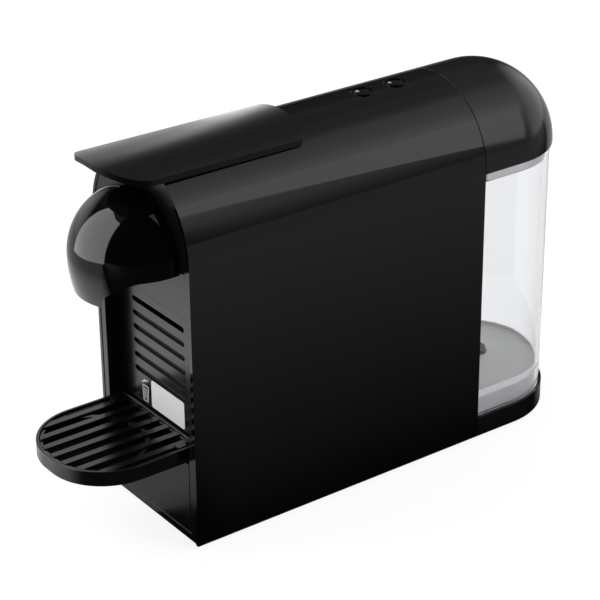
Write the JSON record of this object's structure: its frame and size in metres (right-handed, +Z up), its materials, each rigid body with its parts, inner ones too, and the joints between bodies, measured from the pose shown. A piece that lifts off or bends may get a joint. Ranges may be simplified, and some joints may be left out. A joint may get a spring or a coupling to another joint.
{
  "type": "pod coffee machine",
  "caption": "Capsule coffee machine with an arched gloss body, ball-shaped brew head, top lever, drip tray and clear rear water tank.",
  "frame": {"origin": "on the surface it stands on, under the middle of its overall box", "axes": "+Z up, -Y towards the front with the drip tray, +X to the right seen from the front"},
  "size_m": [0.108, 0.3894, 0.2555],
  "materials": {
    "gloss_black": "high gloss",
    "lid_black": "gloss, slightly softer than the casing",
    "lever_black": "satin with a soft broad highlight",
    "panel_black": "satin",
    "tray_black": "satin, fine texture",
    "clear": "clear moulded plastic",
    "frosted": "frosted translucent plastic",
    "white_label": "blank paper label",
    "inner_plastic": "plain moulded plastic",
    "heater_metal": "cast",
    "steel": "plain",
    "circuit": "green lacquer",
    "rubber": "soft",
    "hose": "silicone",
    "pump_body": "lacquered"
  },
  "bodies": {
    "casing": {"main_shell": "gloss_black", "front_frame": "panel_black", "upper_panel": "panel_black", "outlet_duct": "inner_plastic", "lower_front_cover": "panel_black", "bin_shelf": "inner_plastic", "tray_runner": "inner_plastic", "brew_head": "gloss_black", "coffee_spout": "tray_black", "extraction_plate": "inner_plastic", "chamber_seal": "rubber", "brew_frame": "inner_plastic", "brew_frame_screws": "steel", "thermoblock": "heater_metal", "thermoblock_feet": "inner_plastic", "thermostat": "steel", "works_shelf": "inner_plastic", "shelf_posts": "inner_plastic", "water_pump": "pump_body", "pump_mounts": "rubber", "flow_meter": "inner_plastic", "control_board": "circuit", "board_posts": "inner_plastic", "micro_switches": "inner_plastic", "button_rings": "gloss_black", "base_plate": "lid_black", "tank_socket": "inner_plastic", "mains_inlet": "rubber", "feet": "rubber", "base_screws": "steel", "rear_wall": "inner_plastic", "suction_hose": "hose", "meter_hose": "hose", "pump_hose": "hose", "brew_hose": "hose"},
    "lever": {"brew_lever": "lever_black"},
    "chamber": {"capsule_chamber": "inner_plastic", "drive_links": "inner_plastic"},
    "container": {"container_front": "panel_black", "capsule_container": "inner_plastic", "blank_label": "white_label"},
    "tray": {"drip_tray": "tray_black"},
    "grid": {"drip_grid": "tray_black"},
    "tank": {"water_tank": "clear", "valve_spring": "steel"},
    "lid": {"tank_lid": "lid_black", "lid_collar": "frosted"},
    "valve": {"tank_valve": "inner_plastic", "valve_seal": "rubber"},
    "button_short": {"short_cup_button": "gloss_black"},
    "button_long": {"long_cup_button": "gloss_black"}
  },
  "joints": [
    {"name": "lever_lift", "type": "hinge", "parent": "casing", "child": "lever", "pos_m": [0, -0.01675, 0.2525], "axis": [-1, 0, 0], "range_deg": [0, 60]},
    {"name": "chamber_slide", "type": "slide", "parent": "casing", "child": "chamber", "axis": [0, 1, 0], "range_m": [0, 0.022]},
    {"name": "container_slide", "type": "slide", "parent": "casing", "child": "container", "axis": [0, -1, 0], "range_m": [0, 0.1]},
    {"name": "tray_slide", "type": "slide", "parent": "casing", "child": "tray", "axis": [0, -1, 0], "range_m": [0, 0.1]},
    {"name": "grid_lift", "type": "slide", "parent": "tray", "child": "grid", "axis": [0, 0, 1], "range_m": [0, 0.04]},
    {"name": "tank_lift", "type": "slide", "parent": "casing", "child": "tank", "axis": [0, 0, 1], "range_m": [0, 0.06]},
    {"name": "lid_lift", "type": "slide", "parent": "tank", "child": "lid", "axis": [0, 0, 1], "range_m": [0, 0.04]},
    {"name": "valve_lift", "type": "slide", "parent": "tank", "child": "valve", "axis": [0, 0, 1], "range_m": [0, 0.003], "stiffness_N_per_m": 80, "springref_m": -0.002, "deforming": ["valve_spring"]},
    {"name": "short_cup_press", "type": "slide", "parent": "casing", "child": "button_short", "axis": [0, 0, -1], "range_m": [0, 0.0015], "stiffness_N_per_m": 300},
    {"name": "long_cup_press", "type": "slide", "parent": "casing", "child": "button_long", "axis": [0, 0, -1], "range_m": [0, 0.0015], "stiffness_N_per_m": 300}
  ],
  "couplings": [
    {"joint": "chamber_slide", "follows": "lever_lift", "m_per_rad": 0.020913}
  ]
}
